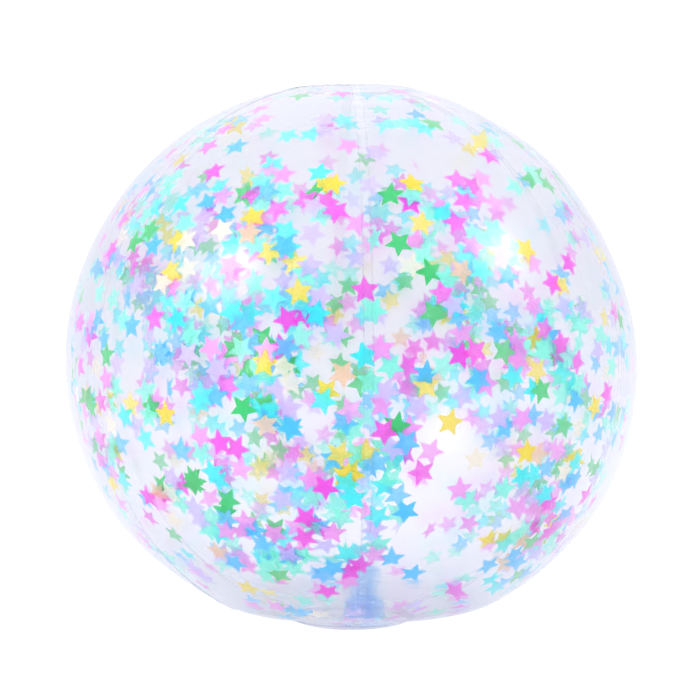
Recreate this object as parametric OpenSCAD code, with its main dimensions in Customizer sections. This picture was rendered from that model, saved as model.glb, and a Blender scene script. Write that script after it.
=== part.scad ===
// Clear inflatable beach ball with star confetti inside and a push-in valve in its base.
// +Z is up. The origin is on the floor, under the middle of the ball, in the plane of its flat base.

/* [Ball] */
// Widest diameter of the inflated ball
ball_d = 265; // [258:1:290]
// Height from pole to pole that the ball would have off the ground
pole_d = 258; // [245:1:265]
// How far the base is pressed flat by the ball's own weight
base_press = 5.5; // [4.5:0.1:7]
// Thickness of the film
film_t = 0.25; // [0.2:0.01:0.3]
// Width of the lap welds between panels
lap_w = 4.5; // [3:0.5:6]
// Radius of the round patches over the panels' ends
cap_r = 30; // [28:1:34]
// Turn of the first panel's edge from the +X axis, in degrees
seam_turn = 33; // [0:1:59]

/* [Valve] */
// Distance of the valve from the middle of the base, towards +X
valve_x = 6; // [0:0.5:8]
// Outer radius of the valve's welded ring
flange_r = 15; // [14:0.5:18]
// Thickness of the valve's welded ring
flange_t = 0.8; // [0.6:0.1:1.2]
// Outer radius of the stem's tube
stem_r = 6.2; // [6:0.1:6.4]
// Radius of the stem's bore
bore_r = 3.9; // [3.5:0.1:4.2]
// Height of the stem's inner end above the floor
stem_top = 25; // [24:0.5:30]
// Running clearance between the plug and the bore
plug_clear = 0.05; // [0.02:0.01:0.1]

/* [Confetti] */
// Width of a star, from tip to tip
star_w = 11.6; // [10:0.1:12]
// Thickness of a star
star_t = 0.15; // [0.1:0.01:0.2]
// How many places are tried for a star
star_tries = 2400; // [200:10:2600]
// Seed of the stars' places
star_seed = 11; // [1:1:99]

/* [Hidden] */
STAR_KINDS = [
    ["stars_magenta", "#ff5cff", 0.12],
    ["stars_light_pink", "#ffb8ff", 0.15],
    ["stars_lavender", "#d4c4ff", 0.12],
    ["stars_sky_blue", "#60c8ff", 0.17],
    ["stars_cyan", "#50f8ff", 0.11],
    ["stars_aqua", "#b0fff8", 0.13],
    ["stars_green", "#18e08c", 0.07],
    ["stars_gold", "#ffe030", 0.06],
    ["stars_peach", "#ffd8b0", 0.03],
    ["stars_cream", "#fff8e8", 0.04],
];
GORES = 6;
$fn = 96;

// The ball's section is an arc of radius arc_r whose centre stands arc_x off the axis, cut by the floor.
arc_r = pole_d / 2;
arc_x = (ball_d - pole_d) / 2 + film_t;
mid_z = arc_r - base_press;
base_lat = -asin(mid_z / arc_r);
gore_end_r = cap_r - lap_w;
gore_step = 360 / GORES;
far = 2 * ball_d;

// The stem: its mouth, the collar that holds the skirt's neck, and the wider head under the flap.
hole_r = 10.2;
mouth_z = 2.2;
collar_z = 11;
collar_r = stem_r + 0.8;
collar_t = 0.6;
head_r = 8;
head_h = 6;
seat_r = 5.4;
pad_w = 6;
pad_gap = 0.8;
pad_size = [pad_w, 1, 1.8];

// The skirt: a hem welded to the flange, a steep wall, and a neck round the stem.
skirt_t = 0.7;
skirt_r = 9.9;
skirt_taper = 0.5;
hem_w = 1.4;
hem_depth = 0.4;
neck_t = 1.6;
neck_gap = 0.1;
hem_gap = 0.05;
shoulder = [1.6, 1.9];

// The plug, its grip tab and its strap.
plug_r = bore_r - plug_clear;
plug_head_r = 6.8;
plug_head_t = 1.6;
plug_head_z = mouth_z - 0.1 - plug_head_t;
plug_len = 9;
plug_tip = [0.8, 1];
plug_hollow_r = 2.4;
grip_size = [4, 3.5, 0.9];
tether_w = 2.4;
tether_t = 0.8;
tether_r = stem_r + 1;
tether_gap = 0.15;
tether_weld_t = 1.3;
tether_turn = 20;

// The flap, hinged along the straight edge of its disc.
flap_r = 6.9;
flap_t = 0.8;
flap_lift = 0.05;
flap_axis_y = 5.9;

// A star's outer and inner radii.
star_r = star_w / 2 / sin(72);
star_notch_r = 0.48 * star_r;
wall_gap = 0.4;
layer_step = 0.55;
layers = 3;
lean_every = 10;
// Stars of one layer stay clear of each other, and a star never hides another one whole.
layer_pitch = 2 * star_r + 0.3;
overlap_pitch = 5.5;
valve_keep_out = flange_r + star_r + 1;

// ---------- Film ----------

// Section of the ball inside the film's outer face, moved in by depth.
module ball_section(depth) {
    r = arc_r - depth;
    intersection() {
        union() {
            translate([arc_x, mid_z]) circle(r);
            translate([0, mid_z - r]) square([arc_x, 2 * r]);
        }
        translate([0, depth]) square(far);
    }
}

// Section of one layer of film whose outer face is depth inside the ball's.
module film_section(depth) {
    difference() {
        ball_section(depth);
        ball_section(depth + film_t);
    }
}

// Plan of one panel: a wedge whose edges lie half a lap outside the seams' middles.
module gore_plan() {
    half = gore_step / 2;
    tip = -lap_w / 2 / sin(half);
    polygon([
        [tip, 0],
        [tip + far * cos(half), -far * sin(half)],
        [tip + far * cos(half), far * sin(half)],
    ]);
}

// One film panel; every second one lies under its neighbours' edges.
module gore(g) {
    depth = film_t * (1 + g % 2);
    turn = seam_turn + gore_step * (g + 0.5);
    color("#e9e6f4", 0.35)
    intersection() {
        difference() {
            rotate_extrude($fn = 180) film_section(depth);
            translate([0, 0, -far / 2]) cylinder(r = gore_end_r, h = far);
        }
        rotate([0, 0, turn]) linear_extrude(far) gore_plan();
    }
}

module top_cap() {
    color("#e4e2f2", 0.45)
    rotate_extrude()
    intersection() {
        film_section(0);
        translate([0, mid_z]) square([cap_r, far]);
    }
}

module bottom_cap() {
    color("#e4e2f2", 0.45)
    difference() {
        cylinder(r = cap_r, h = film_t);
        translate([valve_x, 0, -film_t]) cylinder(r = hole_r, h = 3 * film_t);
    }
}

// ---------- Valve ----------

module valve_flange() {
    color("#dcecf8", 0.6)
    translate([valve_x, 0, film_t])
    difference() {
        cylinder(r = flange_r, h = flange_t);
        translate([0, 0, -flange_t]) cylinder(r = hole_r, h = 3 * flange_t);
    }
}

// Thin skirt from the flange up to the stem's collar, as it lies with the stem pushed in.
module valve_diaphragm() {
    foot = film_t + flange_t;
    top = collar_z + neck_t / 2;
    wall_r = skirt_r - skirt_taper;
    neck_r = stem_r + neck_gap;
    color("#d4e8f8", 0.5)
    translate([valve_x, 0, 0])
    rotate_extrude()
    polygon([
        [skirt_r, foot - hem_depth],
        [hole_r - hem_gap, foot - hem_depth],
        [hole_r - hem_gap, foot],
        [hole_r + hem_w, foot],
        [hole_r + hem_w, foot + skirt_t],
        [skirt_r + hem_depth, foot + skirt_t],
        [wall_r, top - shoulder.y],
        [wall_r - shoulder.x / 2, top],
        [neck_r, top],
        [neck_r, top - skirt_t],
        [wall_r - shoulder.x, top - skirt_t],
        [wall_r - skirt_t, top - shoulder.y - skirt_t / 2],
    ]);
}

module stem_ring(r, low, high) {
    translate([0, 0, low]) cylinder(r = r, h = high - low);
}

module valve_stem() {
    neck_low = collar_z - neck_t / 2;
    neck_high = collar_z + neck_t / 2 + neck_gap;
    color("#d8ecfa", 0.6)
    translate([valve_x, 0, 0])
    difference() {
        union() {
            stem_ring(stem_r, mouth_z, stem_top);
            stem_ring(head_r, stem_top - head_h, stem_top);
            stem_ring(collar_r, neck_low - collar_t, neck_low);
            stem_ring(collar_r, neck_high, neck_high + collar_t);
            // Pad that the flap's root is welded to
            translate([-pad_w / 2, flap_axis_y + pad_gap, stem_top - pad_size.z / 2]) cube(pad_size);
        }
        cylinder(r = bore_r, h = far);
        translate([0, 0, stem_top - head_h / 2]) cylinder(r = seat_r, h = far);
    }
}

// Disc that lies on the stem's inner end, cut straight along its hinge, with a round root there.
module check_flap() {
    color("#cfe4f6", 0.7)
    translate([valve_x, 0, stem_top + flap_lift])
    union() {
        intersection() {
            cylinder(r = flap_r, h = flap_t);
            translate([-flap_r, -flap_r, 0]) cube([2 * flap_r, flap_r + flap_axis_y, flap_t]);
        }
        translate([-pad_w / 2, flap_axis_y, flap_t / 2]) rotate([0, 90, 0]) cylinder(d = flap_t, h = pad_w);
    }
}

module valve_plug() {
    straight = plug_len - plug_tip.y;
    color("#e6f2fc", 0.7)
    translate([valve_x, 0, plug_head_z])
    difference() {
        union() {
            cylinder(r = plug_head_r, h = plug_head_t);
            translate([0, 0, plug_head_t]) cylinder(r = plug_r, h = straight);
            translate([0, 0, plug_head_t + straight])
                cylinder(r1 = plug_r, r2 = plug_r - plug_tip.x, h = plug_tip.y);
            // Grip tab at the head's edge
            translate([-grip_size.x / 2, -plug_head_r - grip_size.y / 2, grip_size.z / 3]) cube(grip_size);
        }
        translate([0, 0, -plug_tip.y]) cylinder(r = plug_hollow_r, h = plug_len);
    }
}

// Strap folded half round the stem, inside the skirt, from the plug's head to the stem's side.
module plug_tether() {
    inner = stem_r + tether_gap;
    low = mouth_z + tether_gap;
    root_z = plug_head_z + plug_head_t / 2;
    outer = tether_r + tether_t;
    weld_r = tether_r + tether_t / 4;
    color("#dcecf8", 0.6)
    translate([valve_x, 0, 0])
    rotate([0, 0, tether_turn])
    union() {
        translate([0, 0, low])
            rotate_extrude(angle = 180)
            translate([tether_r, 0])
            square([tether_t, tether_w]);
        // Root on the plug's head
        translate([inner, 0, root_z]) cube([outer - inner, tether_w, low + tether_gap - root_z]);
        // Weld on the stem's side
        translate([-weld_r, -tether_w / 2, low]) cube([weld_r - inner, tether_weld_t, tether_w]);
    }
}

// ---------- Confetti ----------

// Bare places on the wall: direction from the ball's middle, its angular radius, share of stars kept.
THIN_ZONES = [
    [[0, 0, 1], 48, 0.2],
    [[0.75, -0.3, 0.6], 27, 0.08],
    [[0.75, 0.3, 0.6], 27, 0.15],
    [[-0.66, -0.25, -0.72], 25, 0.14],
    [[-0.66, 0.25, -0.72], 25, 0.16],
    [[0.3, -0.82, -0.5], 12, 0],
    [[0.3, 0.82, -0.5], 14, 0.06],
    [[1, 0, 0], 34, 0.24],
    [[-1, 0, 0], 32, 0.32],
    [[0, 0, -1], 42, 0.36],
];

DRAWS = rands(0, 1, star_tries * 7, star_seed);
function draw(i, k) = DRAWS[7 * i + k];

function unit(v) = v / norm(v);
function facing(lat, lon) = [cos(lat) * cos(lon), cos(lat) * sin(lon), sin(lat)];
function in_zone(d, zone) = d * unit(zone[0]) > cos(zone[1]);
function share(d) = min([1, for (zone = THIN_ZONES) in_zone(d, zone) ? zone[2] : 1]);

// A star: [centre, latitude, longitude, spin, lean, kind, layer]. Lean is 0 for one that lies on the wall.
function leans(i) = i % lean_every == 0;
function star_layer(i) = leans(i) ? layers : i % layers;
function star_lean(i) = leans(i) ? 20 + 50 * draw(i, 4) : 0;
function star_depth(i) = 2 * film_t + wall_gap + star_t
    + layer_step * star_layer(i)
    + star_r * sin(star_lean(i));
function star_lat(i) = asin(2 * draw(i, 0) - 1);
function on_base(i) = star_lat(i) < base_lat + 2.5;
function base_reach(i) = min(cap_r + 3, arc_x + mid_z / tan(-star_lat(i)));
function star_centre(i) =
    let (lat = star_lat(i), lon = 360 * draw(i, 1), r = arc_r - star_depth(i))
    on_base(i)
        ? [base_reach(i) * cos(lon), base_reach(i) * sin(lon), film_t + flange_t + star_depth(i)]
        : [0, 0, mid_z] + r * facing(lat, lon) + arc_x * facing(0, lon);
function star_kind(x, k = 0) = k == len(STAR_KINDS) - 1 || x < STAR_KINDS[k][2]
    ? k
    : star_kind(x - STAR_KINDS[k][2], k + 1);
function star(i) = [
    star_centre(i),
    on_base(i) ? -90 : star_lat(i),
    360 * draw(i, 1),
    72 * draw(i, 2),
    star_lean(i),
    star_kind(draw(i, 3)),
    star_layer(i),
];
function pitch(a, b) = a[6] == b[6] ? layer_pitch : overlap_pitch;
function clear_of(s, placed) = len([for (p = placed) if (norm(s[0] - p[0]) < pitch(s, p)) 1]) == 0;
function off_valve(s) = norm([s[0].x - valve_x, s[0].y]) > valve_keep_out || s[0].z > 2 * stem_top;
function wanted(i) = draw(i, 5) < share(facing(star_lat(i), 360 * draw(i, 1)));
function place_stars(i = 0, placed = []) = i == star_tries
    ? placed
    : let (s = star(i), keep = wanted(i) && off_valve(s) && clear_of(s, placed))
        place_stars(i + 1, keep ? concat(placed, [s]) : placed);
STARS = place_stars();

module star_outline() {
    polygon([for (k = [0 : 9]) let (r = k % 2 == 0 ? star_r : star_notch_r) r * [cos(36 * k), sin(36 * k)]]);
}

module placed_star(s) {
    translate(s[0])
    rotate([0, 90 - s[1], s[2]])
    rotate([s[4], 0, 0])
    rotate([0, 0, s[3]])
    linear_extrude(star_t) star_outline();
}

module stars(k) {
    color(STAR_KINDS[k][1])
    for (s = STARS) if (s[5] == k) placed_star(s);
}

for (g = [0 : GORES - 1]) gore(g);
top_cap();
bottom_cap();
valve_flange();
valve_diaphragm();
valve_stem();
check_flap();
valve_plug();
plug_tether();
for (k = [0 : len(STAR_KINDS) - 1]) stars(k);
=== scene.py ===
# %% [markdown]
# # A clear beach ball full of foil stars
# The ball is six welded panels of clear film, two round patches, a push-in valve and loose foil
# stars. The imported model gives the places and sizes. This script gives each piece its real surface
# and finish.

# %% Load the frame
import math
import random

import bmesh
import bpy
import numpy as np
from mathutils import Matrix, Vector


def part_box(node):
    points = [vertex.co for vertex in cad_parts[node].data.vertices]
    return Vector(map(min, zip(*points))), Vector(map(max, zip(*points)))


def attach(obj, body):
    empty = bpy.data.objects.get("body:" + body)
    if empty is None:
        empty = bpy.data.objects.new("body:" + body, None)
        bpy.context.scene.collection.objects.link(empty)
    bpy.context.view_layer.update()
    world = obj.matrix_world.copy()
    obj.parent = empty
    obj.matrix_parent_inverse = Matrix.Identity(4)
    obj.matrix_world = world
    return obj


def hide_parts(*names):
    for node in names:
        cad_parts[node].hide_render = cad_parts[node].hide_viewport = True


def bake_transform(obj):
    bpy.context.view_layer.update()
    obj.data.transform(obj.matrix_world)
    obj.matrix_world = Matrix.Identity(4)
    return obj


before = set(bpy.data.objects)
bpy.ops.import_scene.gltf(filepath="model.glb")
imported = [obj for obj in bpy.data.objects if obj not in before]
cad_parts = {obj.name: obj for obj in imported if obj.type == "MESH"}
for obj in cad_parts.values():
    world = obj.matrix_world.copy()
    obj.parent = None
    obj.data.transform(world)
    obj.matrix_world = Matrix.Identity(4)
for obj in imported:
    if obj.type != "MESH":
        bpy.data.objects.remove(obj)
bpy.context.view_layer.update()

MM = 0.001

# %% [markdown]
# ## The ball's measures
# The section of the ball is one arc whose centre stands a little off the axis, so the ball is wider
# than it is tall, and the floor cuts the arc. Its sizes are read from the frame's boxes where a box
# can tell them.

# %% Measures
TOP_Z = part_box("top_cap")[1].z
CAP_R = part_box("top_cap")[1].x
ARC_R = 129 * MM
MID_Z = TOP_Z - ARC_R
ARC_X = 3.75 * MM
FILM_T = 0.25 * MM
LAP = 4.5 * MM
GORES = 6
SEAM_TURN = math.radians(33)
GORE_STEP = 2 * math.pi / GORES
GORE_END_R = CAP_R - LAP
flange_low, flange_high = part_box("valve_flange")
VALVE = Vector(((flange_low.x + flange_high.x) / 2, 0, 0))
print("middle of the ball, mm:", round(MID_Z / MM, 2), "valve, mm:", round(VALVE.x / MM, 2))

# %% [markdown]
# ## A slack wall
# A ball that is blown up by mouth is never a true round: it has broad dents and swellings where the
# film is slack. They could be simulated, but a few soft bumps on a direction are easier to steer. One
# function moves any point, so that the film and the stars that cling to it shift together. It fades
# out above the flat base. Round the base the film doesn't turn up sharply, as an ideal arc does, so a
# second, ring-shaped lift rounds it.

# %% The slack wall
SLACK = [  # direction in the ball's width and height (degrees), size, spread (degrees)
    (24, -2.6 * MM, 12),
    (37, -2.0 * MM, 5),
    (58, -2.0 * MM, 7),
    (150, -1.0 * MM, 14),
    (195, -0.8 * MM, 14),
    (236, -5.6 * MM, 12),
    (333, 1.6 * MM, 10),
]
BASE_FADE = 16 * MM
RIM_LIFT = 6.5 * MM
RIM_START = 20 * MM
RIM_FULL = 42 * MM
RIM_END = 75 * MM
FLAT_EDGE = 1.2 * MM


def ease(value, low, high):
    """Smooth step from 0 at low to 1 at high."""
    share = np.clip((value - low) / (high - low), 0, 1)
    return share * share * (3 - 2 * share)


def slack_field():
    fields = []
    for turn, size, spread in SLACK:
        angle = math.radians(turn)
        fields.append((np.array([math.cos(angle), 0, math.sin(angle)]), size, math.radians(spread)))
    return fields


SLACK_FIELDS = slack_field()


def slacken(points):
    """Moves an array of points as the slack wall moves them."""
    middle = np.array([0, 0, MID_Z])
    out = points - middle
    reach = np.linalg.norm(out, axis=1, keepdims=True)
    way = out / np.maximum(reach, 1e-9)
    shift = np.zeros(len(points))
    for towards, size, spread in SLACK_FIELDS:
        angle = np.arccos(np.clip(way @ towards, -1, 1))
        shift += size * np.exp(-0.5 * (angle / spread) ** 2)
    near_wall = np.clip(reach[:, 0] / ARC_R, 0, 1.05) ** 2
    moved = points + way * (shift * ease(points[:, 2], 2 * MM, BASE_FADE) * near_wall)[:, None]
    from_axis = np.hypot(points[:, 0], points[:, 1])
    rise = ease(from_axis, RIM_START, RIM_FULL) * (1 - ease(from_axis, RIM_FULL, RIM_END))
    moved[:, 2] += RIM_LIFT * rise * (1 - ease(points[:, 2], 4 * MM, 30 * MM))
    return moved


def on_wall(lat, lon, lift):
    """Points of the wall at latitude and longitude arrays, lift outside the film's outer face."""
    reach = ARC_X + (ARC_R + lift) * np.cos(lat)
    z = MID_Z + (ARC_R + lift) * np.sin(lat)
    floor = -lift
    z = 0.5 * (z + floor + np.sqrt((z - floor) ** 2 + FLAT_EDGE ** 2))
    return np.stack([reach * np.cos(lon), reach * np.sin(lon), z], axis=-1)


print("dents and swellings:", len(SLACK), "deepest, mm:", round(min(size for _, size, _ in SLACK) / MM, 1))

# %% [markdown]
# ## Small helpers
# One function turns a colour from a paint chart's hex code to linear light, one adds a shader node
# with its settings and links, and one makes a mesh object from points and faces.

# %% Helpers
def srgb(code, alpha=1.0):
    parts = [int(code[i:i + 2], 16) / 255 for i in (1, 3, 5)]
    return (*[p / 12.92 if p <= 0.04045 else ((p + 0.055) / 1.055) ** 2.4 for p in parts], alpha)


def add(tree, kind, inputs=None, **settings):
    """Adds a node. inputs maps a socket's name or number to a value or to another node's output."""
    made = tree.nodes.new(kind)
    for name, value in settings.items():
        setattr(made, name, value)
    for name, value in (inputs or {}).items():
        if isinstance(value, bpy.types.NodeSocket):
            tree.links.new(value, made.inputs[name])
        else:
            made.inputs[name].default_value = value
    return made


def new_material(name):
    made = bpy.data.materials.new(name)
    made.use_nodes = True
    made.node_tree.nodes.clear()
    return made, made.node_tree


def finish_material(made, tree, surface):
    add(tree, "ShaderNodeOutputMaterial", {"Surface": surface})
    return made


def new_piece(name, points, faces, materials, smooth=True):
    mesh = bpy.data.meshes.new(name)
    mesh.from_pydata([tuple(p) for p in points], [], faces)
    mesh.validate()
    for material in materials:
        mesh.materials.append(material)
    mesh.polygons.foreach_set("use_smooth", [smooth] * len(mesh.polygons))
    piece = bpy.data.objects.new(name, mesh)
    bpy.context.scene.collection.objects.link(piece)
    return piece


def grid_faces(rows, columns, closed=False):
    """Quads of a grid of points; closed joins its last column to its first."""
    faces = []
    for r in range(rows - 1):
        for c in range(columns if closed else columns - 1):
            right = (c + 1) % columns
            here, there = r * columns, (r + 1) * columns
            faces.append((here + c, here + right, there + right, there + c))
    return faces


print("mid grey in linear light:", round(srgb("#808080")[0], 3))

# %% [markdown]
# ## Clear PVC film
# Plasticised PVC film is calendered: it comes off polished rolls, so it's glossy and clear with a
# pale lavender cast and a faint waviness. A film this thin doesn't bend what is seen through it, so
# it's a Transparent shader with a mirror laid over it. How much it mirrors follows Schlick's rule: a
# few percent head on, and nearly all at a grazing angle. The mirror has two lobes, a sharp one for
# the polish and a soft one for the dulling by handling. A little white haze stands for the film's
# plasticiser bloom. Slack film also blurs what lies far behind it and leaves what touches it sharp. A
# share of rough Refraction with almost no bending does just that.
#
# Polished rolls leave waves about 38 mm long, bloom gathers in clouds of about 60 mm, and the heated
# bar that welds a lap leaves a pebbled print of 1.6 mm. A lap is two layers, so each layer of it has
# about the square root of a panel's tint and half its blur, and the lap looks no darker than the
# rest.

# %% Film material
FILM_HEAD_ON = 0.04
FILM_GRAZING = 0.95
FILM_RISE = 3.8
SHARP_ROUGHNESS = 0.05
SOFT_GLOSS_SHARE = 0.8
BLUR_ROUGHNESS = 0.6
BLUR_IOR = 1.05
BLUR_FADE = (0.35, 0.8)
ROLL_WAVE = 38 * MM
BLOOM_CLOUD = 60 * MM
WELD_PEBBLE = 1.6 * MM


def film_material(name, tint, haze, soft_roughness, blur_share, ribbed):
    made, tree = new_material(name)
    place = add(tree, "ShaderNodeTexCoord").outputs["Object"]
    slant = add(tree, "ShaderNodeLayerWeight", {"Blend": 0.5}).outputs["Facing"]
    rise = add(tree, "ShaderNodeMath", {0: slant, 1: FILM_RISE}, operation="POWER").outputs[0]
    mirror_share = add(
        tree, "ShaderNodeMapRange", {"Value": rise, "To Min": FILM_HEAD_ON, "To Max": FILM_GRAZING}
    ).outputs[0]
    waves = add(tree, "ShaderNodeTexNoise", {"Vector": place, "Scale": 1 / ROLL_WAVE, "Detail": 3.0})
    bump = add(
        tree, "ShaderNodeBump", {"Height": waves.outputs["Fac"], "Strength": 0.25, "Distance": 1.2 * MM}
    ).outputs[0]
    if ribbed:
        ribs = add(tree, "ShaderNodeTexVoronoi", {"Vector": place, "Scale": 1 / WELD_PEBBLE})
        bump = add(
            tree,
            "ShaderNodeBump",
            {"Height": ribs.outputs["Distance"], "Strength": 0.2, "Distance": 0.15 * MM, "Normal": bump},
        ).outputs[0]
    tinted = add(
        tree,
        "ShaderNodeMix",
        {"Factor": rise, 6: srgb(tint[0]), 7: srgb(tint[1])},
        data_type="RGBA",
    ).outputs[2]
    clear = add(tree, "ShaderNodeBsdfTransparent", {"Color": tinted}).outputs[0]
    cloud = add(
        tree, "ShaderNodeTexNoise", {"Vector": place, "Scale": 1 / BLOOM_CLOUD, "Detail": 4.0}
    ).outputs["Fac"]
    haze_share = add(
        tree,
        "ShaderNodeMapRange",
        {"Value": cloud, "From Min": 0.3, "From Max": 0.7, "To Min": haze * 0.4, "To Max": haze * 1.6},
    ).outputs[0]
    bloom = add(tree, "ShaderNodeBsdfTranslucent", {"Color": srgb("#f4f2fc")}).outputs[0]
    spread = add(
        tree, "ShaderNodeBsdfRefraction", {"Color": tinted, "Roughness": BLUR_ROUGHNESS, "IOR": BLUR_IOR}
    ).outputs[0]
    spread_share = add(
        tree,
        "ShaderNodeMapRange",
        {
            "Value": slant, "From Min": BLUR_FADE[0], "From Max": BLUR_FADE[1],
            "To Min": blur_share, "To Max": 0,
        },
    ).outputs[0]
    seen = add(tree, "ShaderNodeMixShader", {0: spread_share, 1: clear, 2: spread}).outputs[0]
    body = add(tree, "ShaderNodeMixShader", {0: haze_share, 1: seen, 2: bloom}).outputs[0]
    sheen = add(
        tree, "ShaderNodeMix", {"Factor": rise, 6: srgb("#f4f3f8"), 7: srgb("#dfe0e6")}, data_type="RGBA"
    ).outputs[2]
    sharp, soft = [
        add(tree, "ShaderNodeBsdfGlossy", {"Color": sheen, "Roughness": rough, "Normal": bump}).outputs[0]
        for rough in (SHARP_ROUGHNESS, soft_roughness)
    ]
    gloss = add(tree, "ShaderNodeMixShader", {0: SOFT_GLOSS_SHARE, 1: sharp, 2: soft}).outputs[0]
    film = add(tree, "ShaderNodeMixShader", {0: mirror_share, 1: body, 2: gloss}).outputs[0]
    return finish_material(made, tree, film)


pvc_film = film_material("calendered_pvc_film", ("#e5e5eb", "#d8d9e2"), 0.014, 0.26, 0.42, False)
pvc_weld = film_material("welded_pvc_lap", ("#f1f1f4", "#eaebf0"), 0.007, 0.28, 0.24, True)
print("film materials:", pvc_film.name, pvc_weld.name)

# %% [markdown]
# ## The six panels
# Each panel is a long leaf of flat film. Blown up, it bulges between its two welds, which stay
# shorter than the film beside them, so small puckers run out from every weld and from the caps. A
# panel is a grid in latitude and longitude with its columns packed towards the edges, because that is
# where the puckers are.

# %% Panels
GORE_ROWS = 190
GORE_COLUMNS = 57
LOBE = 1.1 * MM
PUCKER = 0.34 * MM
PUCKER_PITCH = 8.5 * MM
PUCKER_REACH = 10 * MM
CAP_PUCKER_REACH = 12 * MM
END_LAT = math.acos((GORE_END_R - ARC_X) / ARC_R)


def gore_piece(g):
    lat = np.linspace(END_LAT, -END_LAT, GORE_ROWS)[:, None]
    across = np.sin(np.linspace(-math.pi / 2, math.pi / 2, GORE_COLUMNS))[None, :]
    reach = ARC_X + ARC_R * np.cos(lat)
    half = GORE_STEP / 2 + np.arcsin(LAP / 2 / reach)
    turn = across * half
    from_seam = reach * np.sin(np.clip(GORE_STEP / 2 - np.abs(turn), -0.2, None))
    along = ARC_R * lat + np.zeros_like(turn)
    side = np.where(turn > 0, 1.7 + g, 0.4 + (g - 1) % GORES)
    wobble = 0.9 * np.sin(along / (31 * MM) + side) + 0.6 * np.sin(along / (13.7 * MM) + 2 * side)
    ripple = 0.5 + 0.5 * np.sin(2 * math.pi * along / PUCKER_PITCH + wobble + side)
    strength = 0.55 + 0.45 * np.sin(along / (47 * MM) + 3 * side)
    pucker = PUCKER * strength * ripple * np.exp(-np.maximum(from_seam, 0) / PUCKER_REACH)
    lobe = LOBE * np.cos(np.clip(turn / GORE_STEP * math.pi, -math.pi / 2, math.pi / 2)) * np.cos(lat)
    lon = SEAM_TURN + GORE_STEP * (g + 0.5) + turn
    ray = 0.5 + 0.5 * np.sin(lon * 34 + 1.3 * np.sin(lon * 5))
    cap_pucker = 0.5 * MM * ray * np.exp(-(reach - GORE_END_R) / CAP_PUCKER_REACH)
    lift = -FILM_T * (1 + g % 2) + lobe + pucker + cap_pucker * (lat > 0)
    points = on_wall(lat + np.zeros_like(turn), lon, lift).reshape(-1, 3)
    points = slacken(points)
    faces = grid_faces(GORE_ROWS, GORE_COLUMNS)
    piece = new_piece(f"film_panel_{g + 1}", points, faces, [pvc_film, pvc_weld])
    seam = from_seam.reshape(-1)
    in_lap = [int(all(seam[v] < LAP / 2 * 1.02 for v in face)) for face in faces]
    piece.data.polygons.foreach_set("material_index", in_lap)
    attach(piece, "ball")
    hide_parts(f"gore_{g + 1}")
    return piece


panels = [gore_piece(g) for g in range(GORES)]
print("panels:", len(panels), "faces each:", len(panels[0].data.polygons))

# %% [markdown]
# ## The two caps
# A round patch closes each end, where six points of film would never meet cleanly. It's welded on in
# a ring, and the bottom one has the valve's hole. Each is a disc of rings; its outer rings are the
# weld.

# %% Caps
CAP_SIDES = 144
CAP_RINGS = 26
WELD_STEP = 0.35 * MM
VALVE_HOLE_R = 10.2 * MM


def cap_piece(name, node, points, hole):
    faces = grid_faces(CAP_RINGS, CAP_SIDES, closed=True)
    if not hole:
        faces.append(tuple(range(CAP_SIDES - 1, -1, -1)))
    piece = new_piece(name, points, faces, [pvc_film, pvc_weld])
    welded = [0] * len(faces)
    for index, face in enumerate(faces[:(CAP_RINGS - 1) * CAP_SIDES]):
        middle = Vector(np.mean([points[v] for v in face], axis=0)).to_2d()
        welded[index] = int(middle.length > CAP_R - LAP)
    piece.data.polygons.foreach_set("material_index", welded)
    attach(piece, "ball")
    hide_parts(node)
    return piece


def top_cap_piece():
    reach = np.linspace(0.02, 1, CAP_RINGS)[:, None] * CAP_R
    lon = np.linspace(0, 2 * math.pi, CAP_SIDES, endpoint=False)[None, :]
    lat = np.arccos(np.clip((reach - ARC_X) / ARC_R, -1, 1))
    lat = np.where(reach < ARC_X, math.pi / 2, lat) + np.zeros_like(lon)
    step = WELD_STEP * np.clip((reach - GORE_END_R) / (1 * MM), 0, 1)
    ray = 0.22 * MM * np.sin(lon * 34 + 1.3 * np.sin(lon * 5)) * (reach / CAP_R) ** 4
    spread = reach + np.zeros_like(lon)
    z = MID_Z + ARC_R * np.sin(lat) + step + ray - 0.3 * MM
    points = np.stack([spread * np.cos(lon), spread * np.sin(lon), z], axis=-1).reshape(-1, 3)
    return cap_piece("top_patch", "top_cap", slacken(points), hole=False)


def bottom_cap_piece():
    lon = np.linspace(0, 2 * math.pi, CAP_SIDES, endpoint=False)[None, :]
    share = np.linspace(0, 1, CAP_RINGS)[:, None]
    x = (1 - share) * (VALVE.x + VALVE_HOLE_R * np.cos(lon)) + share * CAP_R * np.cos(lon)
    y = (1 - share) * VALVE_HOLE_R * np.sin(lon) + share * CAP_R * np.sin(lon)
    z = np.full_like(x, FILM_T / 2)
    points = np.stack([x, y, z], axis=-1).reshape(-1, 3)
    return cap_piece("bottom_patch", "bottom_cap", slacken(points), hole=True)


caps = [top_cap_piece(), bottom_cap_piece()]
print("caps:", [c.name for c in caps])

# %% [markdown]
# ## Foil for the stars
# The stars are die-cut from thin pearly PET foil. Each colour is a clear film with a coloured,
# slightly metallised coat, so it lets some light through in its own colour, scatters some, and shines
# a little. That is a coloured Transparent shader, a Translucent one and a satin Principled one mixed
# in shares that differ from colour to colour. A tone stored on each star makes some paler, and its
# cover says how well the coat hides what's behind. The coat's clouds are about 3.5 mm across, and
# handling leaves a fine crinkle of 1.4 mm.

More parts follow.
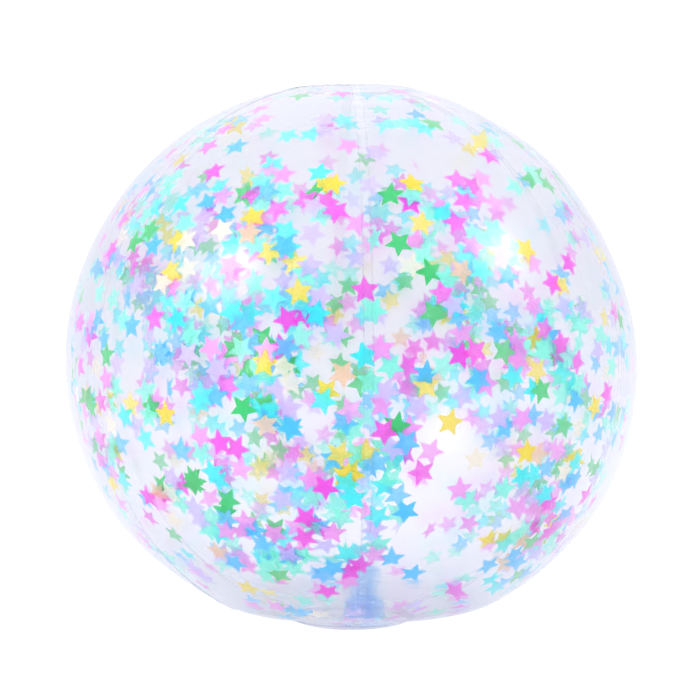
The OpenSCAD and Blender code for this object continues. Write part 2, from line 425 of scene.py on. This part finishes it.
# %% Foil material
FOILS = {  # colour of the coat, colour of light through it, share that isn't see-through
    "magenta": ("#ff34e2", "#ffa8f0", 0.96),
    "light_pink": ("#ff9cee", "#ffd4f6", 0.86),
    "lavender": ("#d8c4ff", "#f0e8ff", 0.78),
    "sky_blue": ("#2ccaff", "#b0ecff", 0.88),
    "cyan": ("#14f8f4", "#a8fcfa", 0.86),
    "aqua": ("#84ffe0", "#d4fff4", 0.80),
    "green": ("#00d468", "#50e8a0", 0.98),
    "gold": ("#ffe400", "#fff280", 0.96),
    "peach": ("#ffd2a8", "#ffecd8", 0.74),
    "cream": ("#fff4d8", "#fffaec", 0.72),
}
GLOW_SHARE = 0.3
COAT_THINNING = 0.18
FULL_COAT = 0.97
PALEST = 0.24
COAT_CLOUD = 3.5 * MM
CRINKLE = 1.4 * MM


def foil_material(name, coat, through, solid):
    made, tree = new_material("pearl_foil_" + name)
    place = add(tree, "ShaderNodeTexCoord").outputs["Object"]
    tone = add(tree, "ShaderNodeAttribute", attribute_name="tone").outputs["Fac"]
    cloud = add(
        tree, "ShaderNodeTexNoise", {"Vector": place, "Scale": 1 / COAT_CLOUD, "Detail": 2.0}
    ).outputs["Fac"]
    paler = add(tree, "ShaderNodeMath", {0: tone, 1: cloud}, operation="MULTIPLY").outputs[0]
    share = add(
        tree, "ShaderNodeMapRange", {"Value": paler, "From Max": 0.6, "To Min": 0.0, "To Max": PALEST}
    ).outputs[0]
    colour = add(
        tree, "ShaderNodeMix", {"Factor": share, 6: srgb(coat), 7: srgb("#ffffff")}, data_type="RGBA"
    ).outputs[2]
    window = add(
        tree, "ShaderNodeMix", {"Factor": share, 6: srgb(through), 7: srgb("#ffffff")}, data_type="RGBA"
    ).outputs[2]
    crinkle = add(tree, "ShaderNodeTexNoise", {"Vector": place, "Scale": 1 / CRINKLE, "Detail": 2.0})
    bump = add(
        tree, "ShaderNodeBump", {"Height": crinkle.outputs["Fac"], "Strength": 0.2, "Distance": 0.1 * MM}
    ).outputs[0]
    satin = add(
        tree,
        "ShaderNodeBsdfPrincipled",
        {"Base Color": colour, "Roughness": 0.32, "IOR": 1.4, "Metallic": 0.0, "Normal": bump},
    ).outputs[0]
    glow = add(tree, "ShaderNodeBsdfTranslucent", {"Color": colour, "Normal": bump}).outputs[0]
    lit = add(tree, "ShaderNodeMixShader", {0: GLOW_SHARE, 1: satin, 2: glow}).outputs[0]
    clear = add(tree, "ShaderNodeBsdfTransparent", {"Color": window}).outputs[0]
    cover = add(tree, "ShaderNodeAttribute", attribute_name="cover").outputs["Fac"]
    hidden = add(
        tree, "ShaderNodeMapRange", {"Value": cover, "To Min": solid - COAT_THINNING, "To Max": FULL_COAT}
    ).outputs[0]
    mixed = add(tree, "ShaderNodeMixShader", {0: hidden, 1: clear, 2: lit}).outputs[0]
    return finish_material(made, tree, mixed)


foils = {name: foil_material(name, *values) for name, values in FOILS.items()}
print("foils:", sorted(foils))

# %% [markdown]
# ## Where the stars are
# The frame holds each star as a thin flat solid. Its corners tell where it lies, which way it faces
# and how it is turned, so the places aren't written down twice. A real heap of confetti is thicker
# than the frame's, whose files may only be so large, so more stars are dropped beside the ones that
# are there, a little deeper inside.

# %% Read the stars
STAR_R = 6.1 * MM


def star_islands(node):
    """The corner points of each separate solid in a CAD node."""
    bm = bmesh.new()
    bm.from_mesh(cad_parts[node].data)
    bmesh.ops.remove_doubles(bm, verts=bm.verts, dist=0.002 * MM)
    seen = set()
    islands = []
    for start in bm.verts:
        if start in seen:
            continue
        seen.add(start)
        stack = [start]
        island = []
        while stack:
            vertex = stack.pop()
            island.append(vertex.co.copy())
            for edge in vertex.link_edges:
                other = edge.other_vert(vertex)
                if other not in seen:
                    seen.add(other)
                    stack.append(other)
        islands.append(np.array([tuple(co) for co in island]))
    bm.free()
    return islands


def star_pose(points):
    """Centre, outward normal and direction of one tip."""
    centre = points.mean(axis=0)
    normal = np.linalg.svd(points - centre)[2][2]
    if normal @ (centre - np.array([0, 0, MID_Z])) < 0:
        normal = -normal
    out = points - centre
    tip = out[np.argmax(np.linalg.norm(out, axis=1) + 1e-6 * out[:, 2])]
    tip = tip - normal * (tip @ normal)
    return centre, normal, tip / np.linalg.norm(tip)


poses = {}
for colour in FOILS:
    poses[colour] = [star_pose(island) for island in star_islands("stars_" + colour)]
print("stars in the frame:", sum(len(found) for found in poses.values()))

# %% [markdown]
# ## More stars beside them
# Real confetti lies in drifts: where it's thick, one star hides the next. So the denser the crowd
# round a star, the likelier another is dropped beside it, slid a few millimetres along the wall and a
# little deeper.

# %% Drop more stars beside them
random.seed(5)
EXTRA_SHARE = 0.42
CROWD_REACH = 26 * MM
CROWD_FULL = 11
EXTRA_NEAR = 6.5 * MM
EXTRA_FAR = 12 * MM
EXTRA_DEPTH = (1.2 * MM, 3.4 * MM)
EXTRA_TILT = 0.16
EXTRA_LOWEST = 7 * MM
EXTRA_TRIES = 2
EXTRA_MIX = {
    "sky_blue": 4, "cyan": 5, "aqua": 6, "green": 3, "magenta": 2, "light_pink": 3, "lavender": 1, "gold": 1,
}


def any_colour():
    return random.choices(list(EXTRA_MIX), EXTRA_MIX.values())[0]


def crowd_at(place):
    """How many of the frame's stars lie within reach of a place."""
    return np.sum(np.linalg.norm(all_centres - place, axis=1) < CROWD_REACH)


def slid_along_wall(pose):
    """A new place a few millimetres along the wall and a little deeper."""
    centre, normal, tip = pose
    middle = np.array([0, 0, MID_Z])
    angle = random.uniform(0, 2 * math.pi)
    side = np.cross(normal, tip)
    step = random.uniform(EXTRA_NEAR, EXTRA_FAR)
    moved = centre + step * (math.cos(angle) * tip + math.sin(angle) * side)
    way = moved - middle
    reach = np.linalg.norm(centre - middle) - random.uniform(*EXTRA_DEPTH)
    way /= np.linalg.norm(way)
    placed = middle + way * reach
    if placed[2] < EXTRA_LOWEST:
        return None
    tilt = Vector([random.gauss(0, EXTRA_TILT) for _ in range(3)])
    facing = np.array((Vector(way) + tilt).normalized())
    turn = random.uniform(0, 2 * math.pi)
    across = np.cross(facing, [0, 0, 1.0])
    across /= max(np.linalg.norm(across), 1e-6)
    up = np.cross(across, facing)
    return placed, facing, math.cos(turn) * across + math.sin(turn) * up


all_poses = [pose for found in poses.values() for pose in found]
all_centres = np.array([pose[0] for pose in all_poses])
for pose in all_poses:
    crowd = crowd_at(pose[0])
    for _ in range(EXTRA_TRIES):
        if random.random() > EXTRA_SHARE * (crowd / CROWD_FULL) ** 2:
            continue
        dropped = slid_along_wall(pose)
        if dropped is not None:
            poses[any_colour()].append(dropped)
print("neighbours within reach, mean:", round(float(np.mean([crowd_at(pose[0]) for pose in all_poses])), 1))
print("stars with the dropped ones:", sum(len(found) for found in poses.values()))

# %% [markdown]
# ## A few where the rest are sparse
# Static holds some stars apart from the drifts, high on the wall and near the base. Places are tried
# at random, and a try counts only where few of the frame's stars are near.

# %% Scatter a few more
SCATTER_TRIES = 560
SCATTER_CROWD = 5
SCATTER_HEIGHTS = (-0.8, 0.97)
SCATTER_DEPTH = (1.6, 3.4)
for _ in range(SCATTER_TRIES):
    up = random.uniform(*SCATTER_HEIGHTS)
    angle = random.uniform(0, 2 * math.pi)
    level = math.sqrt(1 - up * up)
    way = np.array([level * math.cos(angle), level * math.sin(angle), up])
    depth = random.uniform(*SCATTER_DEPTH) * MM
    centre = np.array([0, 0, MID_Z]) + way * (ARC_R + ARC_X * level - depth)
    crowd = crowd_at(centre)
    spin = random.uniform(0, 2 * math.pi)
    across = np.array([-math.sin(angle), math.cos(angle), 0])
    tip = math.cos(spin) * across + math.sin(spin) * np.cross(way, across)
    if crowd < SCATTER_CROWD and random.random() > crowd / (SCATTER_CROWD + 2):
        poses[any_colour()].append((centre, way, tip))
print("stars in all:", sum(len(found) for found in poses.values()))

# %% [markdown]
# ## Foil stars
# A die cuts fat five-point stars with slightly blunt tips. Static holds a star against the wall, so
# it takes the wall's curve, and most curl a little more on their own. Each is a small net of points:
# three rings of the outline and a middle, bent along one line and pushed to the wall's curve.

# %% Make the stars
TIP_BLUNT = 0.93
TIP_ANGLE = math.radians(3.4)
NOTCH = 0.485
RINGS = (1.0, 0.7, 0.38)


def star_outline():
    outline = []
    for arm in range(5):
        middle = 2 * math.pi * arm / 5
        outline.append((middle - TIP_ANGLE, TIP_BLUNT))
        outline.append((middle, 1.0))
        outline.append((middle + TIP_ANGLE, TIP_BLUNT))
        outline.append((middle + math.pi / 5, NOTCH))
    return np.array([(r * math.cos(a), r * math.sin(a)) for a, r in outline])


OUTLINE = star_outline()
FLAT_STAR = np.concatenate([OUTLINE * ring for ring in RINGS] + [np.zeros((1, 2))]) * STAR_R


def star_faces(first):
    count = len(OUTLINE)
    faces = []
    for ring in range(len(RINGS) - 1):
        for k in range(count):
            n = (k + 1) % count
            a, b = first + ring * count, first + (ring + 1) * count
            faces.append((a + k, a + n, b + n, b + k))
    last = first + (len(RINGS) - 1) * count
    middle = first + len(RINGS) * count
    faces += [(last + k, last + (k + 1) % count, middle) for k in range(count)]
    return faces


def bent_star(pose):
    centre, normal, tip = pose
    side = np.cross(normal, tip)
    x, y = FLAT_STAR[:, 0], FLAT_STAR[:, 1]
    bend_line = random.uniform(0, math.pi)
    across = x * math.cos(bend_line) + y * math.sin(bend_line)
    curl = random.choice((0.15, 0.3, 0.5, 0.9, 1.6)) * MM
    sink = (x * x + y * y) / (2 * ARC_R) + curl * (across / STAR_R) ** 2
    return centre + np.outer(x, tip) + np.outer(y, side) - np.outer(sink, normal)


def foil_piece(colour):
    points, faces, tones, covers = [], [], [], []
    for pose in poses[colour]:
        faces += star_faces(len(tones))
        points.append(bent_star(pose))
        tones += [random.random() ** 2] * len(FLAT_STAR)
        covers += [random.random() ** 0.6] * len(FLAT_STAR)
    piece = new_piece("foil_stars_" + colour, slacken(np.concatenate(points)), faces, [foils[colour]])
    for name, values in (("tone", tones), ("cover", covers)):
        piece.data.attributes.new(name, "FLOAT", "POINT").data.foreach_set("value", values)
    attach(piece, "ball")
    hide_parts("stars_" + colour)
    return piece


confetti = [foil_piece(colour) for colour in FOILS]
print("foil pieces:", [(piece.name, len(piece.data.polygons)) for piece in confetti])

# %% [markdown]
# ## Soft vinyl for the valve
# The valve is moulded from the same PVC with more plasticiser. It's thick enough to look a little
# milky and blue, and the mould leaves a satin skin with a grain of about 2 mm.

# %% Valve material
VINYL_CLOUDY_SHARE = 0.07
VINYL_ROUGHNESS = 0.12
MOULD_GRAIN = 2 * MM


def vinyl_material():
    made, tree = new_material("moulded_soft_vinyl")
    place = add(tree, "ShaderNodeTexCoord").outputs["Object"]
    slant = add(tree, "ShaderNodeLayerWeight", {"Blend": 0.5}).outputs["Facing"]
    rise = add(tree, "ShaderNodeMath", {0: slant, 1: 4.0}, operation="POWER").outputs[0]
    mirror_share = add(
        tree, "ShaderNodeMapRange", {"Value": rise, "To Min": 0.05, "To Max": 0.8}
    ).outputs[0]
    grain = add(tree, "ShaderNodeTexNoise", {"Vector": place, "Scale": 1 / MOULD_GRAIN, "Detail": 3.0})
    bump = add(
        tree, "ShaderNodeBump", {"Height": grain.outputs["Fac"], "Strength": 0.3, "Distance": 0.1 * MM}
    ).outputs[0]
    clear = add(tree, "ShaderNodeBsdfTransparent", {"Color": srgb("#ecf7ff")}).outputs[0]
    milk = add(tree, "ShaderNodeBsdfTranslucent", {"Color": srgb("#b8e0ff")}).outputs[0]
    skin = add(tree, "ShaderNodeBsdfDiffuse", {"Color": srgb("#c8e8ff"), "Normal": bump}).outputs[0]
    cloudy = add(tree, "ShaderNodeMixShader", {0: 0.5, 1: milk, 2: skin}).outputs[0]
    body = add(tree, "ShaderNodeMixShader", {0: VINYL_CLOUDY_SHARE, 1: clear, 2: cloudy}).outputs[0]
    gloss = add(
        tree, "ShaderNodeBsdfGlossy", {"Color": srgb("#ffffff"), "Roughness": VINYL_ROUGHNESS, "Normal": bump}
    ).outputs[0]
    mixed = add(tree, "ShaderNodeMixShader", {0: mirror_share, 1: body, 2: gloss}).outputs[0]
    return finish_material(made, tree, mixed)


vinyl = vinyl_material()
print("valve material:", vinyl.name)

# %% [markdown]
# ## Turned and flat parts
# Nearly all of the valve is round, so it's turned from sections. Moulded vinyl has no sharp edges:
# every corner of a section is rounded first. The flap and the grip tab are flat pieces with a rounded
# rim, made from an outline. Sections and outlines are drawn in millimetres, from the valve's axis and
# the floor.

# %% Round sections and flat pieces
TURN_SIDES = 96
CORNER_STEPS = 4


def rounded(corners, radius):
    """A closed outline with each corner replaced by a short curve, in millimetres."""
    outline = []
    for k, corner in enumerate(corners):
        here, before, after = Vector(corner), Vector(corners[k - 1]), Vector(corners[(k + 1) % len(corners)])
        reach = min(radius, (before - here).length / 2.1, (after - here).length / 2.1)
        start = here + (before - here).normalized() * reach
        end = here + (after - here).normalized() * reach
        for i in range(CORNER_STEPS + 1):
            t = i / CORNER_STEPS
            outline.append((1 - t) ** 2 * start + 2 * t * (1 - t) * here + t * t * end)
    return outline


def turned(corners, radius, arc=None):
    """Points and faces of a section in (reach, height) turned about the valve's axis; arc limits the turn."""
    outline = rounded(corners, radius)
    closed = arc is None
    sides = TURN_SIDES if closed else TURN_SIDES // 2 + 1
    start, end = (0, 2 * math.pi) if closed else arc
    points = []
    for k in range(sides):
        angle = start + (end - start) * k / (sides if closed else sides - 1)
        points += [VALVE + Vector((p.x * math.cos(angle), p.x * math.sin(angle), p.y)) * MM for p in outline]
    count = len(outline)
    rows = range(sides if closed else sides - 1)
    faces = []
    for r in rows:
        n = (r + 1) % sides
        faces += [(r * count + c, n * count + c, n * count + (c + 1) % count, r * count + (c + 1) % count)
                  for c in range(count)]
    if not closed:
        faces += [tuple(range(count - 1, -1, -1)), tuple((sides - 1) * count + c for c in range(count))]
    return points, faces


def flat(corners, radius, low, high, rim):
    """Points and faces of a flat piece with a rounded rim, from an outline about the valve's axis."""
    outline = rounded(corners, radius)
    middle = sum(outline, Vector((0, 0))) / len(outline)
    levels = [(rim, low), (rim * 0.3, low + rim * 0.3), (0, low + rim), (0, high - rim)]
    levels += [(rim * 0.3, high - rim * 0.3), (rim, high)]
    points = []
    for inset, z in levels:
        for p in outline:
            q = p + (middle - p).normalized() * inset
            points.append(VALVE + Vector((q.x, q.y, z)) * MM)
    count = len(outline)
    faces = grid_faces(len(levels), count, closed=True)
    faces.append(tuple(range(count - 1, -1, -1)))
    faces.append(tuple((len(levels) - 1) * count + c for c in range(count)))
    return points, faces


def vinyl_piece(name, node, shapes):
    """One piece from several shapes, with welded seams and even normals."""
    points, faces = [], []
    for more_points, more_faces in shapes:
        first = len(points)
        points += more_points
        faces += [tuple(first + v for v in face) for face in more_faces]
    piece = new_piece(name, points, faces, [vinyl])
    bm = bmesh.new()
    bm.from_mesh(piece.data)
    bmesh.ops.remove_doubles(bm, verts=bm.verts, dist=0.001 * MM)
    bmesh.ops.recalc_face_normals(bm, faces=bm.faces)
    bm.to_mesh(piece.data)
    bm.free()
    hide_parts(node)
    return piece


print("sides of a turned part:", TURN_SIDES)

# %% [markdown]
# ## The valve
# A welded ring holds a thin skirt, and the skirt holds the stem, so the whole stem can be pulled out
# to blow the ball up and pushed back in to lie flush. A flap on the stem's inner end holds the air
# while the plug is out. The plug hangs on a strap. The ring has two ridges left by the welding tool.

# %% Ring, stem and flap
ROLL_SIDES = 24
HINGE_Y = 5.9
HINGE_Z = 25.45
FLAP_R = 6.9


def ring_piece():
    ridges = [(14.1, 1.05), (13.8, 1.22), (13.5, 1.05), (12.9, 1.05), (12.6, 1.22), (12.3, 1.05)]
    section = [(10.2, 0.25), (15.0, 0.25), (15.0, 0.85), *ridges, (10.2, 1.05)]
    piece = vinyl_piece("valve_ring", "valve_flange", [turned(section, 0.22)])
    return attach(piece, "ball")


def stem_piece():
    tube = [(3.9, 2.2), (6.2, 2.2), (6.2, 9.6), (7.0, 9.6), (7.0, 10.2), (6.2, 10.2), (6.2, 11.9)]
    tube += [(7.0, 11.9), (7.0, 12.5), (6.2, 12.5), (6.2, 19.0), (8.0, 19.0), (8.0, 25.0)]
    tube += [(5.4, 25.0), (5.4, 22.0), (3.9, 22.0)]
    pad = [(-3, 6.7), (3, 6.7), (3, 7.7), (-3, 7.7)]
    piece = vinyl_piece("valve_tube", "valve_stem", [turned(tube, 0.28), flat(pad, 0.2, 24.1, 25.9, 0.15)])
    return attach(piece, "stem")


def hinge_roll():
    """The round root the flap turns on; a square one would rub the stem as the flap opens."""
    points = []
    for x, reach in ((-3, 0.3), (-2.9, 0.4), (2.9, 0.4), (3, 0.3)):
        for k in range(ROLL_SIDES):
            angle = 2 * math.pi * k / ROLL_SIDES
            around = Vector((0, reach * math.cos(angle), reach * math.sin(angle)))
            points.append(VALVE + (Vector((x, HINGE_Y, HINGE_Z)) + around) * MM)
    faces = grid_faces(4, ROLL_SIDES, closed=True)
    faces.append(tuple(range(ROLL_SIDES - 1, -1, -1)))
    faces.append(tuple(3 * ROLL_SIDES + k for k in range(ROLL_SIDES)))
    return points, faces


def flap_piece():
    edge = math.asin(HINGE_Y / FLAP_R)
    turns = np.linspace(math.pi - edge, 2 * math.pi + edge, 61)
    outline = [(FLAP_R * math.cos(a), FLAP_R * math.sin(a)) for a in turns]
    disc = flat(outline, 0.1, 25.05, 25.85, 0.18)
    bead = [(5.9, 25.75), (6.3, 25.75), (6.3, 26.0), (5.9, 26.0)]
    seal = turned(bead, 0.1, arc=(math.pi * 1.02, math.pi * 1.98))
    piece = vinyl_piece("valve_flap", "check_flap", [disc, seal, hinge_roll()])
    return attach(piece, "flap")


def off_the_frame(piece, node):
    """How far a piece's box is from its node's, in millimetres."""
    corners = [Vector(v.co) for v in piece.data.vertices]
    gaps = []
    for end, pick in zip(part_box(node), (min, max)):
        gaps += [pick(c[axis] for c in corners) - end[axis] for axis in range(3)]
    return round(max(abs(gap) for gap in gaps) / MM, 2)


ring, stem, flap = ring_piece(), stem_piece(), flap_piece()
for piece, node in ((ring, "valve_flange"), (stem, "valve_stem"), (flap, "check_flap")):
    print(piece.name, "faces:", len(piece.data.polygons), "off its box, mm:", off_the_frame(piece, node))

# %% [markdown]
# The plug's head has a ridged grip tab. The skirt bends between ring and stem, and the strap bends
# between stem and plug; both are made in place and hung on no body.

# %% Plug, strap and skirt
STRAP_TURN = math.radians(20)


def plug_piece():
    body = [(0, 8.5), (2.4, 8.5), (2.4, 0.5), (6.8, 0.5), (6.8, 2.1), (3.85, 2.1), (3.85, 10.1), (3.05, 11.1)]
    body += [(0, 11.1)]
    tab = [(-2, -8.55), (2, -8.55), (2, -5.05), (-2, -5.05)]
    shapes = [turned(body, 0.25), flat(tab, 0.8, 0.8, 1.7, 0.3)]
    for y in (-8.1, -7.6, -7.1):
        ridge = [(-1.4, y - 0.12), (1.4, y - 0.12), (1.4, y + 0.12), (-1.4, y + 0.12)]
        shapes.append(flat(ridge, 0.1, 0.6, 0.9, 0.08))
    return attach(vinyl_piece("valve_stopper", "valve_plug", shapes), "plug")


def strap_piece():
    band = [(7.2, 2.35), (8.0, 2.35), (8.0, 4.75), (7.2, 4.75)]
    c, n = math.cos(STRAP_TURN), math.sin(STRAP_TURN)

    def block(x_low, x_high, y_low, y_high, low, high):
        corners = [(x_low, y_low), (x_high, y_low), (x_high, y_high), (x_low, y_high)]
        return flat([(x * c - y * n, x * n + y * c) for x, y in corners], 0.15, low, high, 0.12)

    shapes = [
        turned(band, 0.25, arc=(STRAP_TURN, STRAP_TURN + math.pi)),
        block(6.35, 8.0, 0, 2.4, 1.3, 2.5),
        block(-7.4, -6.35, -1.2, 0.1, 2.35, 4.75),
    ]
    piece = vinyl_piece("stopper_strap", "plug_tether", shapes)
    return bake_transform(piece)


def skirt_piece():
    section = [(9.9, 0.65), (10.15, 0.65), (10.15, 1.05), (11.6, 1.05), (11.6, 1.75), (10.3, 1.75)]
    section += [(9.4, 9.9), (8.6, 11.8), (6.3, 11.8), (6.3, 11.1), (7.8, 11.1), (8.7, 9.55)]
    piece = vinyl_piece("valve_skirt", "valve_diaphragm", [turned(section, 0.3)])
    bm = bmesh.new()
    bm.from_mesh(piece.data)
    long_edges = [e for e in bm.edges if e.calc_length() > 3 * MM]
    bmesh.ops.subdivide_edges(bm, edges=long_edges, cuts=11, use_grid_fill=True)
    bm.to_mesh(piece.data)
    bm.free()
    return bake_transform(piece)


plug, strap, skirt = plug_piece(), strap_piece(), skirt_piece()
for piece, node in ((plug, "valve_plug"), (strap, "plug_tether"), (skirt, "valve_diaphragm")):
    print(piece.name, "faces:", len(piece.data.polygons), "off its box, mm:", off_the_frame(piece, node))

# %% [markdown]
# ## Studio
# Clear things are shown on a table of white acrylic lit from below, so that no shadow greys their
# base. The floor is matt white paper with a share of light of its own. From below it lets the view
# through, which shows the valve.

# %% Floor
TABLE_GLOW = 1.15
TABLE_SHARE = 0.6


def floor_material():
    made, tree = new_material("matt_white_paper")
    place = add(tree, "ShaderNodeTexCoord").outputs["Object"]
    grain = add(tree, "ShaderNodeTexNoise", {"Vector": place, "Scale": 1 / (4 * MM), "Detail": 4.0})
    bump = add(
        tree, "ShaderNodeBump", {"Height": grain.outputs["Fac"], "Strength": 0.1, "Distance": 0.1 * MM}
    ).outputs[0]
    paper = add(tree, "ShaderNodeBsdfDiffuse", {"Color": srgb("#f2f2f2"), "Normal": bump}).outputs[0]
    lamp = add(tree, "ShaderNodeEmission", {"Color": srgb("#ffffff"), "Strength": TABLE_GLOW}).outputs[0]
    table = add(tree, "ShaderNodeMixShader", {0: TABLE_SHARE, 1: paper, 2: lamp}).outputs[0]
    from_below = add(tree, "ShaderNodeNewGeometry").outputs["Backfacing"]
    clear = add(tree, "ShaderNodeBsdfTransparent").outputs[0]
    sheet = add(tree, "ShaderNodeMixShader", {0: from_below, 1: table, 2: clear}).outputs[0]
    return finish_material(made, tree, sheet)


FLOOR_HALF = 6.0
floor_corners = [(x * FLOOR_HALF, y * FLOOR_HALF, 0) for x, y in ((-1, -1), (1, -1), (1, 1), (-1, 1))]
floor = new_piece("studio_floor", floor_corners, [(0, 1, 2, 3)], [floor_material()])
print("floor, m:", 2 * FLOOR_HALF)

# %% [markdown]
# ## White sky
# An even white sky gives the high-key look. A clear film would mirror it head on and wash out the
# stars behind, so studios hang a grey cloth behind the camera. Only mirror rays see it here. Rays
# that light a matt surface see a brighter sky, as if more lamps stood outside the view.

# %% Sky
BACK_STRENGTH = 1.22
FRONT_STRENGTH = 0.32
SOFT_LIGHT = 0.5
OVERHEAD_STRENGTH = 0.6
CLOTH_EDGE = (-0.94, -0.5)
OVERHEAD_EDGE = (0.3, 0.95)


def studio_sky():
    """White all round; mirror rays see a dimmer cloth on the camera's side and a brighter ceiling."""
    world = bpy.data.worlds.new("white_studio")
    world.use_nodes = True
    tree = world.node_tree
    tree.nodes.clear()
    way = add(tree, "ShaderNodeTexCoord").outputs["Generated"]
    axes = add(tree, "ShaderNodeSeparateXYZ", {0: way}).outputs
    behind, above = [
        add(
            tree,
            "ShaderNodeMapRange",
            {"Value": axis, "From Min": start, "From Max": end, "To Min": low, "To Max": high},
            interpolation_type="SMOOTHSTEP",
        ).outputs[0]
        for axis, start, end, low, high in (
            (axes[1], *CLOTH_EDGE, FRONT_STRENGTH, BACK_STRENGTH),
            (axes[2], *OVERHEAD_EDGE, 0.0, OVERHEAD_STRENGTH),
        )
    ]
    strength = add(tree, "ShaderNodeMath", {0: behind, 1: above}, operation="ADD").outputs[0]
    path = add(tree, "ShaderNodeLightPath").outputs
    mirrored = add(
        tree, "ShaderNodeMath", {0: path["Is Reflection Ray"], 1: path["Is Glossy Ray"]}, operation="MULTIPLY"
    ).outputs[0]
    shown = add(
        tree, "ShaderNodeMapRange", {"Value": mirrored, "To Min": BACK_STRENGTH, "To Max": strength}
    ).outputs[0]
    lit = add(
        tree, "ShaderNodeMath", {0: path["Is Diffuse Ray"], 1: SOFT_LIGHT, 2: shown}, operation="MULTIPLY_ADD"
    ).outputs[0]
    sky = add(tree, "ShaderNodeBackground", {"Color": (1, 1, 1, 1), "Strength": lit}).outputs[0]
    add(tree, "ShaderNodeOutputWorld", {"Surface": sky})
    return world


bpy.context.scene.world = studio_sky()
print("sky:", BACK_STRENGTH, "cloth:", FRONT_STRENGTH)

# %% [markdown]
# ## Soft boxes
# Three round soft boxes, two high and one level, put broad highlights on the film.

# %% Soft boxes
BALL_MIDDLE = Vector((0, 0, MID_Z))
SOFT_BOXES = [  # name, direction, distance (m), size (m), power (W)
    ("box_left_high", (-0.68, -0.51, 0.52), 1.5, 0.6, 7),
    ("box_right_high", (0.75, -0.28, 0.59), 1.5, 0.5, 5),
    ("box_left_level", (-0.57, -0.81, 0.10), 1.6, 0.45, 3),
]


def soft_box(name, towards, distance, size, power):
    light = bpy.data.lights.new(name, "AREA")
    light.shape = "DISK"
    light.size = size
    light.energy = power
    lamp = bpy.data.objects.new(name, light)
    bpy.context.scene.collection.objects.link(lamp)
    lamp.location = BALL_MIDDLE + Vector(towards).normalized() * distance
    lamp.rotation_euler = (BALL_MIDDLE - lamp.location).to_track_quat("-Z", "Y").to_euler()
    return lamp


lamps = [soft_box(*box) for box in SOFT_BOXES]
print("soft boxes:", [lamp.name for lamp in lamps])

# %% [markdown]
# ## Camera
# A long lens from just above the ball's middle keeps its outline nearly round. The exposure keeps the
# paper white and leaves some tone in the film's edge.

# %% Camera
FOCAL = 104.6
SENSOR = 36
CAMERA_DISTANCE = 7.2 * 132.5 * MM
CAMERA_RISE = math.radians(2.5)
AIM = Vector((-0.7 * MM, 0, 5.0 * MM))
camera_data = bpy.data.cameras.new("camera")
camera_data.lens = FOCAL
camera_data.sensor_width = SENSOR
camera_data.clip_end = 50
camera = bpy.data.objects.new("camera", camera_data)
bpy.context.scene.collection.objects.link(camera)
away = Vector((0, -math.cos(CAMERA_RISE), math.sin(CAMERA_RISE)))
camera.location = BALL_MIDDLE + AIM + away * CAMERA_DISTANCE
camera.rotation_euler = (-away).to_track_quat("-Z", "Y").to_euler()
bpy.context.scene.camera = camera

scene = bpy.context.scene
scene.view_settings.view_transform = "Standard"
scene.view_settings.look = "None"
scene.view_settings.exposure = 0.15
scene.cycles.transparent_max_bounces = 48
scene.cycles.max_bounces = 16
scene.cycles.use_denoising = True
print("camera, m:", [round(v, 3) for v in camera.location])
